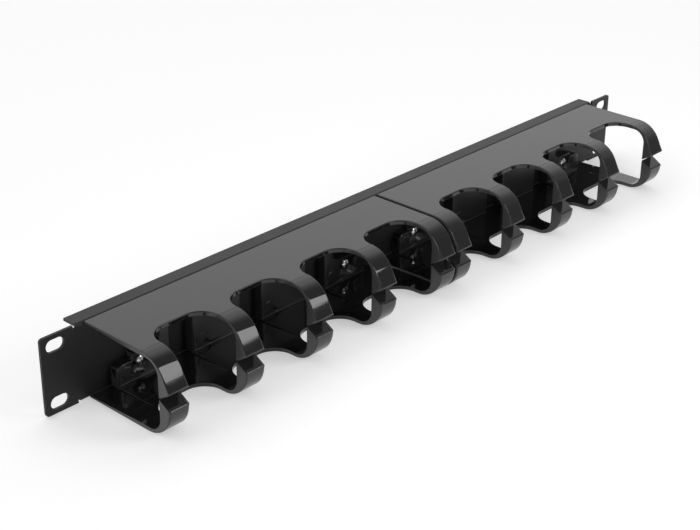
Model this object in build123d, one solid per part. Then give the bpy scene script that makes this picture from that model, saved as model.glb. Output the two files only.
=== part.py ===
from build123d import *
import os
from math import radians, tan

# Horizontal cable manager for a 19 inch rack, one rack unit high.
# A folded steel panel carries two identical finger ducts side by side.
# X runs along the rack's width, +Y to the rear of the rack, +Z up.
# The origin is the middle of the four rack slots, on the panel's front face.

# Rack slots, placed as the rack standard gives
slot_from_panel_end = 8.75
rack_slot_spacing_z = 31.75
rack_slot_width = 6.9
rack_slot_length = 11.0

# Folded steel panel
panel_length = 482.6
panel_height = 43.6
sheet = 1.5
bend_inside_radius = 0.4
ear_length = 21.8
flange_depth = 10.0
relief_width = 1.9
ear_corner_radius = 2.0

# Plates and openings of a finger duct
duct_from_flange_end = 5.05
duct_gap = 2.3
plate = 2.4
plate_at_panel = 1.1
plate_taper_reach = 34.0
finger_count = 5
finger_width = 12.5
opening_rear = 30.3
opening_radius = 12.0

# Side profile of the fingers
finger_reach = 62.0
tip_depth = 7.6
nose_radius = 17.0
nose_slope = 61.5
inner_radius = 8.0
tip_spread = 9.6
slit = 0.8
edge_radius = 0.5

# Pads that join the two plates and bear on the panel, one behind each opening
pad_depth = 6.0
pad_inset = 1.6
pad_edge_radius = 0.8
pad_root_radius = 0.6
notch_height = 9.2
low_pad_step = 3.1
low_pad_corner_radius = 3.0
bar_thickness = 0.9
bar_end_gap = 1.2
tall_pad_width = 6.6
tall_pad_hollow = 4.4
pocket_width = 12.2
pocket_depth = 2.9
pocket_above_plate = 2.3
pocket_corner_radius = 4.0
disc_diameter = 6.4
disc_height = 0.3
disc_from_pad_side = 5.5
disc_above_plate = 6.0
pin_hole_diameter = 1.8
pin_hole_depth = 1.5
pin_hole_from_pad_side = 11.9
pin_hole_above_plate = 1.6

# Pan head screws, M3
screw_inset = 29.6
screw_above_plate = 8.5
screw_diameter = 3.0
screw_length = 6.0
screw_clearance = 0.4
head_diameter = 5.6
head_height = 2.3
head_crown = 0.9
recess_span = 3.2
recess_width = 0.8
recess_depth = 1.4
collar_diameter = 4.8
collar_height = 1.0

# Derived sizes
rack_slot_spacing_x = panel_length - 2 * slot_from_panel_end
flange_length = panel_length - 2 * ear_length
duct_length = (flange_length - duct_gap) / 2 - duct_from_flange_end
duct_top = panel_height / 2
plate_under = duct_top - plate
finger_pitch = (duct_length - finger_width) / (finger_count - 1)
finger_inner_face = finger_reach - tip_depth
opening_width = finger_pitch - finger_width
pad_length = opening_width - 2 * pad_inset
bend_outside_radius = bend_inside_radius + sheet
screw_seat = pad_depth - pocket_depth
bar_top = -notch_height / 2
screw_places = [
    (x, side * (plate_under - screw_above_plate))
    for x in (screw_inset, duct_length - screw_inset)
    for side in (-1, 1)
]
duct_starts = {
    "left": -duct_gap / 2 - duct_length,
    "right": duct_gap / 2,
}
screw_names = {
    "left": [("outer", "lower"), ("outer", "upper"), ("inner", "lower"), ("inner", "upper")],
    "right": [("inner", "lower"), ("inner", "upper"), ("outer", "lower"), ("outer", "upper")],
}


def mounting_panel():
    """Flat front with ears, and two flanges folded to the rear."""
    half_height = panel_height / 2
    with BuildPart() as panel:
        with BuildSketch(Plane.YZ.offset(-flange_length / 2)):
            with BuildLine():
                outside = FilletPolyline(
                    (flange_depth, -half_height),
                    (0, -half_height),
                    (0, half_height),
                    (flange_depth, half_height),
                    radius=bend_outside_radius,
                )
                inside = FilletPolyline(
                    (flange_depth, half_height - sheet),
                    (sheet, half_height - sheet),
                    (sheet, -half_height + sheet),
                    (flange_depth, -half_height + sheet),
                    radius=bend_inside_radius,
                )
                Line(outside @ 1, inside @ 0)
                Line(inside @ 1, outside @ 0)
            make_face()
        extrude(amount=flange_length)

        ear_middle = (panel_length + flange_length) / 4
        front = Plane.XZ.offset(-sheet)
        with BuildSketch(front):
            with Locations((-ear_middle, 0), (ear_middle, 0)):
                Rectangle(ear_length, panel_height)
            outer_corners = vertices().group_by(Axis.X)
            fillet(outer_corners[0] + outer_corners[-1], ear_corner_radius)
        extrude(amount=sheet)

        relief_middle = (flange_length + relief_width) / 2
        relief_places = [
            (x, z)
            for x in (-relief_middle, relief_middle)
            for z in (-half_height, half_height)
        ]
        with BuildSketch(front):
            with Locations(*relief_places):
                Rectangle(relief_width, 2 * bend_outside_radius)
            with GridLocations(rack_slot_spacing_x, rack_slot_spacing_z, 2, 2):
                SlotOverall(rack_slot_length, rack_slot_width)
        extrude(amount=sheet, mode=Mode.SUBTRACT)

        tapped_places = [
            (start + x, z) for start in duct_starts.values() for x, z in screw_places
        ]
        with BuildSketch(Plane.XZ.offset(-sheet - collar_height)):
            with Locations(*tapped_places):
                Circle(collar_diameter / 2)
        extrude(amount=collar_height)
        with BuildSketch(Plane.XZ.offset(-sheet - collar_height)):
            with Locations(*tapped_places):
                Circle(screw_diameter / 2)
        extrude(amount=sheet + collar_height, mode=Mode.SUBTRACT)
    return panel.part


def plates():
    """Top and bottom plates, each with an unbroken curved nose, which meet at the slit."""
    tip_edge = tip_spread / 2
    apex = finger_reach - (duct_top - tip_edge) / tan(radians(nose_slope))
    with BuildPart() as pair:
        with BuildSketch(Plane.YZ):
            with BuildLine():
                outside = FilletPolyline(
                    (0, duct_top),
                    (-apex, duct_top),
                    (-finger_reach, tip_edge),
                    radius=nose_radius,
                )
                tip = Line(outside @ 1, (-finger_inner_face, slit / 2))
                inside = FilletPolyline(
                    tip @ 1,
                    (-finger_inner_face, plate_under),
                    (0, plate_under),
                    radius=inner_radius,
                )
                Line(inside @ 1, outside @ 0)
            make_face()
            mirror(about=Plane.XZ)
        extrude(amount=duct_length)
    return pair.part


def opening_middles():
    """Middle of each opening along the duct."""
    first = finger_width + opening_width / 2
    return [first + index * finger_pitch for index in range(finger_count - 1)]


def opening_cutter():
    """Round-cornered openings, cut from the front through both plates."""
    length = 2 * (finger_reach - opening_rear)
    with BuildPart() as cutter:
        with BuildSketch(Plane.XY.offset(-panel_height)):
            with Locations(*[(x, -opening_rear - length / 2) for x in opening_middles()]):
                RectangleRounded(opening_width, length, opening_radius)
        extrude(amount=2 * panel_height)
    return cutter.part


def core_tapers():
    """Wedges that thin both plates towards the panel behind each finger."""
    with BuildPart() as wedges:
        for index in range(finger_count):
            with BuildSketch(Plane.YZ.offset(index * finger_pitch - pad_inset)):
                with BuildLine():
                    Polyline(
                        (0, plate_under),
                        (-plate_taper_reach, plate_under),
                        (0, duct_top - plate_at_panel),
                        close=True,
                    )
                make_face()
                mirror(about=Plane.XZ)
            extrude(amount=finger_width + 2 * pad_inset)
    return wedges.part


def pads():
    """All four pads, with their moulded discs and pin holes."""
    middles = opening_middles()
    with BuildPart() as blocks:
        with BuildSketch(Plane.XZ):
            with Locations(*[(x, 0) for x in middles[1:-1]]):
                Rectangle(pad_length, 2 * plate_under)
        extrude(amount=pad_depth)
        add(end_pads())
        front_uprights = blocks.edges().filter_by(Axis.Z).group_by(Axis.Y)[0]
        sides = [middle + side * pad_length / 2 for middle in middles for side in (-1, 1)]
        fillet(front_uprights.filter_by(lambda edge: is_at(edge.center().X, sides)), pad_edge_radius)
        add(pad_roots())
        left_side = -pad_length / 2
        disc_z = plate_under - disc_above_plate
        pin_z = plate_under - pin_hole_above_plate
        front = Plane.XZ.offset(pad_depth)
        with BuildSketch(front):
            with Locations(*mirrored_places(middles, left_side + disc_from_pad_side, disc_z)):
                Circle(disc_diameter / 2)
        extrude(amount=disc_height)
        with BuildSketch(front):
            with Locations(*mirrored_places(middles, left_side + pin_hole_from_pad_side, pin_z)):
                Circle(pin_hole_diameter / 2)
        extrude(amount=-pin_hole_depth, mode=Mode.SUBTRACT)
    return blocks.part


def is_at(value, places):
    """True where the value is one of the places."""
    return any(abs(value - place) < 0.01 for place in places)


def mirrored_places(middles, x, z):
    """The same place on every pad, above and below mid-height."""
    return [(middle + x, side * z) for middle in middles for side in (-1, 1)]


def end_pads():
    """Pads behind the first and last openings: low outward, with a pocket under a thin bar."""
    outer_side = finger_width + pad_inset
    inner_side = outer_side + pad_length
    tall_side = inner_side - tall_pad_width
    pocket_side = screw_inset - pocket_width / 2
    bar_end = pocket_side + bar_end_gap
    foot_to_bar = plate_under + bar_top
    with BuildPart() as pair:
        with BuildSketch(Plane.XZ):
            with Locations((outer_side, -plate_under)):
                Rectangle(pad_length, foot_to_bar - low_pad_step, align=Align.MIN)
            outer_corner = vertices().group_by(Axis.X)[0].sort_by(Axis.Y)[-1]
            fillet(outer_corner, low_pad_corner_radius)
            with Locations((bar_end, -plate_under)):
                Rectangle(inner_side - bar_end, foot_to_bar, align=Align.MIN)
            with Locations((tall_side, -plate_under)):
                Rectangle(tall_pad_width, plate_under, align=Align.MIN)
            fillet(vertices().sort_by_distance((tall_side, bar_top))[0], tall_pad_hollow)
            mirror(about=Plane.XZ)
        extrude(amount=pad_depth)
        with BuildSketch(Plane.XZ.offset(pad_depth)):
            add(pocket())
            mirror(about=Plane.XZ)
        extrude(amount=-pocket_depth, mode=Mode.SUBTRACT)
        mirror(about=Plane.YZ.offset(duct_length / 2))
    return pair.part


def pocket():
    """Outline of the pocket round a lower screw, rounded at its bottom corners."""
    bottom = pocket_above_plate - plate_under
    height = bar_top - bar_thickness - bottom
    with BuildSketch() as outline:
        with Locations((screw_inset, bottom)):
            Rectangle(pocket_width, height, align=(Align.CENTER, Align.MIN))
        fillet(vertices().group_by(Axis.Y)[0], pocket_corner_radius)
    return outline.sketch


def pad_roots():
    """Hollow fillets where the fronts of the pads meet the plates."""
    with BuildPart() as roots:
        for middle in opening_middles():
            with BuildSketch(Plane.YZ.offset(middle - pad_length / 2 + pad_edge_radius)):
                with BuildLine():
                    foot = (-pad_depth - pad_root_radius, -plate_under)
                    head = (-pad_depth, pad_root_radius - plate_under)
                    RadiusArc(foot, head, -pad_root_radius)
                    Polyline(head, (-pad_depth, -plate_under), foot)
                make_face()
                mirror(about=Plane.XZ)
            extrude(amount=pad_length - 2 * pad_edge_radius)
    return roots.part


def soften_outside(duct):
    """Round the edges where the outer skin meets the openings, ends and tips."""
    skin = [face for face in duct.faces() if is_outer_skin(face)]
    seams = []
    for face in skin:
        for edge in face.edges():
            owners = [other for other in skin if edge in other.edges()]
            if len(owners) == 1 and edge.center().Y < -edge_radius:
                seams.append(edge)
    return duct.fillet(edge_radius, seams)


def is_outer_skin(face):
    """True on the outer plate faces, the nose and the sloping part above the tip."""
    middle = face.center()
    normal = face.normal_at(middle)
    facing_out = abs(normal.X) < 0.001 and normal.Z * middle.Z > 0
    return facing_out and abs(middle.Z) > tip_spread / 2


def finger_duct():
    """One moulding: plates with fingers and openings, pads, and the holes for its screws."""
    body = soften_outside(plates() - opening_cutter()) - core_tapers() + pads()
    with BuildPart() as holes:
        with BuildSketch(Plane.XZ):
            with Locations(*screw_places):
                Circle((screw_diameter + screw_clearance) / 2)
        extrude(amount=screw_seat)
    return body - holes.part


def pan_head_screw():
    """Screw with its seat at the origin and its shank towards +Y."""
    head = head_diameter / 2
    shank = screw_diameter / 2
    with BuildPart() as screw:
        with BuildSketch(Plane.XY):
            with BuildLine():
                Polyline(
                    (0, screw_length),
                    (shank, screw_length),
                    (shank, 0),
                    (head, 0),
                    (head, head_crown - head_height),
                )
                TangentArc((0, -head_height), (head, head_crown - head_height), tangent=(1, 0))
                Line((0, -head_height), (0, screw_length))
            make_face()
        revolve(axis=Axis.Y)
        with BuildSketch(Plane.XZ.offset(head_height)):
            Rectangle(recess_span, recess_width)
            Rectangle(recess_width, recess_span)
        extrude(amount=-recess_depth, mode=Mode.SUBTRACT)
    return screw.part


os.makedirs("parts", exist_ok=True)
export_step(mounting_panel(), "parts/mounting_panel.step")
duct = finger_duct()
screw = pan_head_screw()
for side, start in duct_starts.items():
    export_step(Pos(start, 0, 0) * duct, f"parts/{side}_finger_duct.step")
    for (end, height), (x, z) in zip(screw_names[side], screw_places):
        placed = Pos(start + x, -screw_seat, z) * screw
        export_step(placed, f"parts/{side}_duct_{end}_{height}_screw.step")
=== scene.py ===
from math import cos, hypot, radians, sin, sqrt, tan

import bmesh
import bpy
from mathutils import Matrix, Vector


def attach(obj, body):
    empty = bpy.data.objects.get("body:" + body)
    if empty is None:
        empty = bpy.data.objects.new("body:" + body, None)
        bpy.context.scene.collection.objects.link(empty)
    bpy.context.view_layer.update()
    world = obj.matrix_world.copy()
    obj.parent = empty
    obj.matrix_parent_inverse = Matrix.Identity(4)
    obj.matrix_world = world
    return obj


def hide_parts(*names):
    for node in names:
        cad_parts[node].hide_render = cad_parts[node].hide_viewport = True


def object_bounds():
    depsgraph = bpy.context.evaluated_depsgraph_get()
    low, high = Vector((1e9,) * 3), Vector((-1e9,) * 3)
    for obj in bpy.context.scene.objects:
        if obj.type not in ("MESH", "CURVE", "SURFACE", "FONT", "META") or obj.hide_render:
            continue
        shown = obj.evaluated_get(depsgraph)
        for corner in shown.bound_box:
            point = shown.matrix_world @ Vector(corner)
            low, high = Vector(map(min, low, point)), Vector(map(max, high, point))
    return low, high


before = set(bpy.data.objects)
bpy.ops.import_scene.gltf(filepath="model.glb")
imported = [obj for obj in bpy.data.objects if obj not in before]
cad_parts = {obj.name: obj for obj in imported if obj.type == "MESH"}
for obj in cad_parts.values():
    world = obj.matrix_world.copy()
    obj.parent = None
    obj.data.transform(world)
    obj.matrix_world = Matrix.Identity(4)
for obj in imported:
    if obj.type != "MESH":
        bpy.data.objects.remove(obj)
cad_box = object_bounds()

# Mounting panel
# One folded sheet of 1.5 mm steel with a slotted ear at each end and a flange along the top
# and the bottom. It is powder coated black after folding.


def linear(hex_colour):
    """An sRGB hex colour as linear red, green, blue and alpha."""
    parts = [int(hex_colour[i:i + 2], 16) / 255 for i in (0, 2, 4)]
    curve = [c / 12.92 if c <= 0.04045 else ((c + 0.055) / 1.055) ** 2.4 for c in parts]
    return (*curve, 1.0)


def new_material(name):
    """A material with no nodes in it yet."""
    material = bpy.data.materials.new(name)
    material.use_nodes = True
    material.node_tree.nodes.clear()
    return material


def add_node(material, kind, settings=None, values=(), **inputs):
    """One shader node with its settings, and its inputs linked or set, in order or by name."""
    node = material.node_tree.nodes.new(kind)
    for name, value in (settings or {}).items():
        setattr(node, name, value)
    sockets = list(zip(node.inputs, values))
    sockets += [(node.inputs[name.replace("_", " ")], value) for name, value in inputs.items()]
    for socket, value in sockets:
        if isinstance(value, bpy.types.NodeSocket):
            material.node_tree.links.new(value, socket)
        else:
            socket.default_value = value
    return node


def finish_in(material, node):
    """Give a carried-over node its real finish."""
    node.data.materials.clear()
    node.data.materials.append(material)


# Powder coat on steel: a matt black skin with a fine pebbled surface about 0.6 mm across,
# which breaks every reflection into a soft haze, and is a little uneven over 25 mm.
pebble_size, cloud_size, pebble_relief = 0.0006, 0.025, 0.00004
powder_coat = new_material("black powder coated steel")
place = add_node(powder_coat, "ShaderNodeTexCoord")
pebble = add_node(powder_coat, "ShaderNodeTexNoise", Vector=place.outputs["Object"],
                  Scale=1 / pebble_size, Detail=2.0, Roughness=0.5)
cloud = add_node(powder_coat, "ShaderNodeTexNoise", Vector=place.outputs["Object"],
                 Scale=1 / cloud_size, Detail=3.0, Roughness=0.6)
tone = add_node(powder_coat, "ShaderNodeMix", {"data_type": "RGBA"},
                Factor=cloud.outputs["Fac"], A=linear("141416"), B=linear("1b1b1d"))
haze = add_node(powder_coat, "ShaderNodeMapRange", Value=cloud.outputs["Fac"],
                To_Min=0.42, To_Max=0.54)
bump = add_node(powder_coat, "ShaderNodeBump", Height=pebble.outputs["Fac"],
                Strength=0.25, Distance=pebble_relief)
coat = add_node(powder_coat, "ShaderNodeBsdfPrincipled", Base_Color=tone.outputs["Result"],
                Roughness=haze.outputs["Result"], Normal=bump.outputs["Normal"],
                Specular_IOR_Level=0.35)
add_node(powder_coat, "ShaderNodeOutputMaterial", Surface=coat.outputs["BSDF"])

finish_in(powder_coat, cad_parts["mounting_panel"])

# Finger ducts
# Two equal one-piece mouldings in black ABS. Each has a top and a bottom plate, joined by pads
# that bear on the panel, and five pairs of curved fingers that meet at a slit. Four screws
# through the outer pads hold it to the panel.

# ABS from a mould with polished fingers: they are nearly a mirror, with faint flow clouding,
# fine tool marks that run along the duct, edges a little rounded, and the mould's parting line
# across each. The plates' outsides and the pads are satin, and flanks and ends satin too, with a
# paler colour on them that is painted sheen for the light falling on the sides.
flow_size, mark_length, mark_width, mark_relief = 0.018, 0.016, 0.0012, 0.00004
parting_at, parting_half_width, outside_from, pads_from = -0.0429, 0.0002, 0.0211, -0.0064
abs_plastic = new_material("glossy black moulded ABS")
place = add_node(abs_plastic, "ShaderNodeTexCoord")
axis = add_node(abs_plastic, "ShaderNodeSeparateXYZ", Vector=place.outputs["Object"])
surface = add_node(abs_plastic, "ShaderNodeNewGeometry")
facing = add_node(abs_plastic, "ShaderNodeSeparateXYZ", Vector=surface.outputs["Normal"])

# Where each finish is: the outer skin, the parting line across it, the plates behind that line,
# the pads' faces, and the flanks, which face along the duct.
height = add_node(abs_plastic, "ShaderNodeMath", {"operation": "ABSOLUTE"}, [axis.outputs["Z"]])
outside = add_node(abs_plastic, "ShaderNodeMath", {"operation": "GREATER_THAN"},
                   [height.outputs["Value"], outside_from])
across = add_node(abs_plastic, "ShaderNodeMath", {"operation": "COMPARE"},
                  [axis.outputs["Y"], parting_at, parting_half_width])
parting = add_node(abs_plastic, "ShaderNodeMath", {"operation": "MULTIPLY"},
                   [across.outputs["Value"], outside.outputs["Value"]])
behind = add_node(abs_plastic, "ShaderNodeMath", {"operation": "GREATER_THAN"},
                  [axis.outputs["Y"], parting_at])
plate = add_node(abs_plastic, "ShaderNodeMath", {"operation": "MULTIPLY"},
                 [behind.outputs["Value"], outside.outputs["Value"]])
pad = add_node(abs_plastic, "ShaderNodeMath", {"operation": "GREATER_THAN"},
               [axis.outputs["Y"], pads_from])
plate_or_pad = add_node(abs_plastic, "ShaderNodeMath", {"operation": "MAXIMUM"},
                        [plate.outputs["Value"], pad.outputs["Value"]])
sideways = add_node(abs_plastic, "ShaderNodeMath", {"operation": "ABSOLUTE"},
                    [facing.outputs["X"]])
flank = add_node(abs_plastic, "ShaderNodeMath", {"operation": "GREATER_THAN"},
                 [sideways.outputs["Value"], 0.9])
satin = add_node(abs_plastic, "ShaderNodeMath", {"operation": "MAXIMUM"},
                 [plate_or_pad.outputs["Value"], flank.outputs["Value"]])

flow = add_node(abs_plastic, "ShaderNodeTexNoise", Vector=place.outputs["Object"],
                Scale=1 / flow_size, Detail=4.0, Roughness=0.6)
shade = add_node(abs_plastic, "ShaderNodeMix", {"data_type": "RGBA"},
                 Factor=flow.outputs["Fac"], A=linear("191919"), B=linear("1e1e1f"))
# Painted sheen: the flanks and ends, which face along the duct, get a paler grey colour in place
# of the light that falls on the sides.
flank_painted_sheen = add_node(abs_plastic, "ShaderNodeMix", {"data_type": "RGBA"},
                  Factor=flank.outputs["Value"], A=shade.outputs["Result"], B=linear("404041"))
polish = add_node(abs_plastic, "ShaderNodeMapRange", Value=flow.outputs["Fac"],
                  To_Min=0.03, To_Max=0.07)
etched = add_node(abs_plastic, "ShaderNodeMix", {"data_type": "FLOAT"},
                  Factor=satin.outputs["Value"], A=polish.outputs["Result"], B=0.3)
dulled = add_node(abs_plastic, "ShaderNodeMix", {"data_type": "FLOAT"},
                  Factor=parting.outputs["Value"], A=etched.outputs["Result"], B=0.7)

# The tips' edges are rounded most, by up to 1.8 mm, and the others by 0.3 mm.
edge_radius = add_node(abs_plastic, "ShaderNodeMapRange", Value=axis.outputs["Y"],
                       From_Min=-0.058, From_Max=-0.060, To_Min=0.0003, To_Max=0.0018)
rounded = add_node(abs_plastic, "ShaderNodeBevel", {"samples": 12},
                   Radius=edge_radius.outputs["Result"])
stretch = add_node(abs_plastic, "ShaderNodeMapping", Vector=place.outputs["Object"],
                   Scale=(1 / mark_length, 1 / mark_width, 1 / mark_width))
marks = add_node(abs_plastic, "ShaderNodeTexNoise", Vector=stretch.outputs["Vector"],
                 Scale=1.0, Detail=2.0)
ripple = add_node(abs_plastic, "ShaderNodeBump", Height=marks.outputs["Fac"],
                  Normal=rounded.outputs["Normal"], Strength=0.06, Distance=mark_relief)
moulded = add_node(abs_plastic, "ShaderNodeBsdfPrincipled", Base_Color=flank_painted_sheen.outputs["Result"],
                   Roughness=dulled.outputs["Result"], Normal=ripple.outputs["Normal"], IOR=1.53)
add_node(abs_plastic, "ShaderNodeOutputMaterial", Surface=moulded.outputs["BSDF"])

# The lower fingers are fuller than the solid's: their curve goes on to the tip, where the
# upper fingers end in a flat slope. These sizes are millimetres, forward and up from the
# frame's origin, which is level with the slit.
plate_outside, tip_edge, tip_reach = -21.8, -4.8, -62.0
nose_radius, nose_slope, nose_centre, full_centre = 17.0, radians(61.5), -42.66, -44.75
nose_middle = plate_outside + nose_radius
slope_from = nose_middle - nose_radius * cos(nose_slope)
skin_depth = 0.6


def curve_reach(height, centre):
    """How far forward the nose's curve round this centre comes at a height."""
    return centre - sqrt(max(nose_radius**2 - (height - nose_middle) ** 2, 0))


def solid_reach(height):
    """The same for the solid's lower nose, a curve that ends in a flat slope."""
    if height < slope_from:
        return curve_reach(height, nose_centre)
    return tip_reach - (height - tip_edge) / tan(nose_slope)


def off_skin(forward, height):
    """How deep a point lies behind the solid's outer skin."""
    if height < slope_from:
        return nose_radius - hypot(forward - nose_centre, height - nose_middle)
    return (forward - solid_reach(height)) * sin(nose_slope)


for side in ("left", "right"):
    form = bmesh.new()
    form.from_mesh(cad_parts[f"{side}_finger_duct"].data)
    bmesh.ops.remove_doubles(form, verts=form.verts, dist=0.000002)

    # Level cuts give the flat slope the points that its new curve needs.
    for millimetres_down in range(6, 13):
        front = [face for face in form.faces
                 if face.calc_center_median().z < -0.0045 and face.verts[0].co.y < -0.045]
        edges = dict.fromkeys(edge for face in front for edge in face.edges)
        corners = dict.fromkeys(corner for face in front for corner in face.verts)
        bmesh.ops.bisect_plane(form, geom=front + list(edges) + list(corners), dist=0.00001,
                               plane_co=(0, 0, -0.001 * millimetres_down), plane_no=(0, 0, 1))

    # Every point of the lower noses' skin and its rounded edges moves forward to the full curve.
    for corner in form.verts:
        forward, height = corner.co.y * 1000, corner.co.z * 1000
        on_nose = plate_outside - 0.01 < height < tip_edge and forward < nose_centre - 0.1
        if on_nose and abs(off_skin(forward, height)) < skin_depth:
            fuller = curve_reach(height, full_centre) - solid_reach(height)
            corner.co.y += min(fuller, 0.0) / 1000

    for face in form.faces:
        face.smooth = True
    moulding_mesh = bpy.data.meshes.new(f"{side}_duct_moulding")
    form.to_mesh(moulding_mesh)
    form.free()
    moulding_mesh.set_sharp_from_angle(angle=radians(18))
    moulding = bpy.data.objects.new(f"{side}_duct_moulding", moulding_mesh)
    bpy.context.scene.collection.objects.link(moulding)
    even = moulding.modifiers.new("even shading", "WEIGHTED_NORMAL")
    even.keep_sharp = True
    even.weight = 100
    moulding.data.materials.append(abs_plastic)
    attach(moulding, "root")
    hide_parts(f"{side}_finger_duct")

# Duct screws
# Eight M3 pan head screws with a cross recess, steel with a bright zinc plating. Each goes
# through a pad of its duct and into a tapped collar of the panel.

# Zinc plating: a pale, slightly blue metal with a soft bright sheen, in grains of 0.8 mm.
grain_size = 0.0008
zinc = new_material("bright zinc plated steel")
place = add_node(zinc, "ShaderNodeTexCoord")
grain = add_node(zinc, "ShaderNodeTexNoise", Vector=place.outputs["Object"],
                 Scale=1 / grain_size, Detail=2.0)
lustre = add_node(zinc, "ShaderNodeMapRange", Value=grain.outputs["Fac"],
                  To_Min=0.14, To_Max=0.26)
plating = add_node(zinc, "ShaderNodeBsdfPrincipled", Base_Color=linear("c9cbce"),
                   Roughness=lustre.outputs["Result"], Metallic=1.0)
add_node(zinc, "ShaderNodeOutputMaterial", Surface=plating.outputs["BSDF"])

for name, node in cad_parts.items():
    if name.endswith("_screw"):
        finish_in(zinc, node)

# Floor
# A plain white table top that fades out to the white of the studio.
floor_height = cad_box[0][2] - 0.0001
floor_form = bmesh.new()
bmesh.ops.create_grid(floor_form, x_segments=1, y_segments=1, size=4.0)
bmesh.ops.translate(floor_form, vec=(0, 0, floor_height), verts=floor_form.verts)
floor_mesh = bpy.data.meshes.new("floor")
floor_form.to_mesh(floor_mesh)
floor_form.free()
floor = bpy.data.objects.new("floor", floor_mesh)
bpy.context.scene.collection.objects.link(floor)

# Matt white laminate: the lens, gloss and glass see it as plain white, with the shadow kept.
laminate = new_material("matt white laminate")
matt = add_node(laminate, "ShaderNodeBsdfDiffuse", Color=linear("dcdcdc"))
seen = add_node(laminate, "ShaderNodeLightPath")
eye_or_gloss = add_node(laminate, "ShaderNodeMath", {"operation": "MAXIMUM"},
                        [seen.outputs["Is Camera Ray"], seen.outputs["Is Glossy Ray"]])
eye_gloss_or_glass = add_node(laminate, "ShaderNodeMath", {"operation": "MAXIMUM"},
                              [eye_or_gloss.outputs["Value"],
                               seen.outputs["Is Transmission Ray"]])
lift = add_node(laminate, "ShaderNodeMath", {"operation": "MULTIPLY"},
                [eye_gloss_or_glass.outputs["Value"], 0.43])
glow = add_node(laminate, "ShaderNodeEmission", Color=(1, 1, 1, 1), Strength=lift.outputs["Value"])
both = add_node(laminate, "ShaderNodeAddShader",
                values=[matt.outputs["BSDF"], glow.outputs["Emission"]])
add_node(laminate, "ShaderNodeOutputMaterial", Surface=both.outputs["Shader"])
floor.data.materials.append(laminate)

# Studio light
# A room with white walls to the right and behind, and a grey wall and ceiling on the
# photographer's side, with one bright soft box close to the right in front.
world = bpy.data.worlds.new("half white studio room")
bpy.context.scene.world = world
world.use_nodes = True
background = world.node_tree.nodes["Background"]
look = add_node(world, "ShaderNodeTexCoord")
way = add_node(world, "ShaderNodeSeparateXYZ", Vector=look.outputs["Generated"])
above = add_node(world, "ShaderNodeMapRange", Value=way.outputs["Z"],
                 From_Min=0.45, From_Max=1.0, To_Min=0.0, To_Max=0.6)
rearward = add_node(world, "ShaderNodeMath", {"operation": "SUBTRACT"},
                    [way.outputs["Y"], above.outputs["Result"]])
room = add_node(world, "ShaderNodeMapRange", {"interpolation_type": "SMOOTHSTEP"},
                Value=rearward.outputs["Value"], From_Min=-0.62, From_Max=-0.1,
                To_Min=0.25, To_Max=1.22)
background.inputs["Color"].default_value = (1, 1, 1, 1)
world.node_tree.links.new(room.outputs["Result"], background.inputs["Strength"])

# White soft box cloth, lit evenly from behind.
box_cloth = new_material("lit soft box cloth")
lit = add_node(box_cloth, "ShaderNodeEmission", Color=(1, 1, 1, 1), Strength=5.0)
add_node(box_cloth, "ShaderNodeOutputMaterial", Surface=lit.outputs["Emission"])

# The cloth faces the left duct from half a metre. Its corners are metres to the left and up
# from its middle, and the lower left one is cut off.
box_aim = Vector((-0.158, -0.055, 0.015))
box_distance = 0.5
box_corners = ((-0.092, -0.104), (-0.060, -0.141), (0.150, -0.094), (0.150, 0.145), (0.008, 0.145))
box_way = Vector((0.60, -0.63, 0.48)).normalized()
box_left = box_way.cross(Vector((0, 0, 1))).normalized()
box_up = box_left.cross(box_way)
box_middle = box_aim + box_distance * box_way
box_form = bmesh.new()
box_form.faces.new([box_form.verts.new(box_middle + left * box_left + up * box_up)
                    for left, up in box_corners])
box_mesh = bpy.data.meshes.new("soft box")
box_form.to_mesh(box_mesh)
box_form.free()
box = bpy.data.objects.new("soft box", box_mesh)
bpy.context.scene.collection.objects.link(box)
box.visible_camera = False
box.data.materials.append(box_cloth)

# Camera
# It stands to the left in front of the panel and looks down at it, with a 77 mm lens.
camera_data = bpy.data.cameras.new("camera")
camera_data.sensor_width = 36.0
camera_data.lens = 76.845
camera = bpy.data.objects.new("camera", camera_data)
stand = Matrix.Translation((-0.601248, -0.531226, 0.370861))
turn = Matrix.Rotation(radians(-47.4755), 4, "Z")
tilt = Matrix.Rotation(radians(90 - 26.2047), 4, "X")
roll = Matrix.Rotation(radians(0.5291), 4, "Z")
camera.matrix_world = stand @ turn @ tilt @ roll
bpy.context.scene.collection.objects.link(camera)
bpy.context.scene.camera = camera

bpy.context.scene.view_settings.view_transform = "Standard"
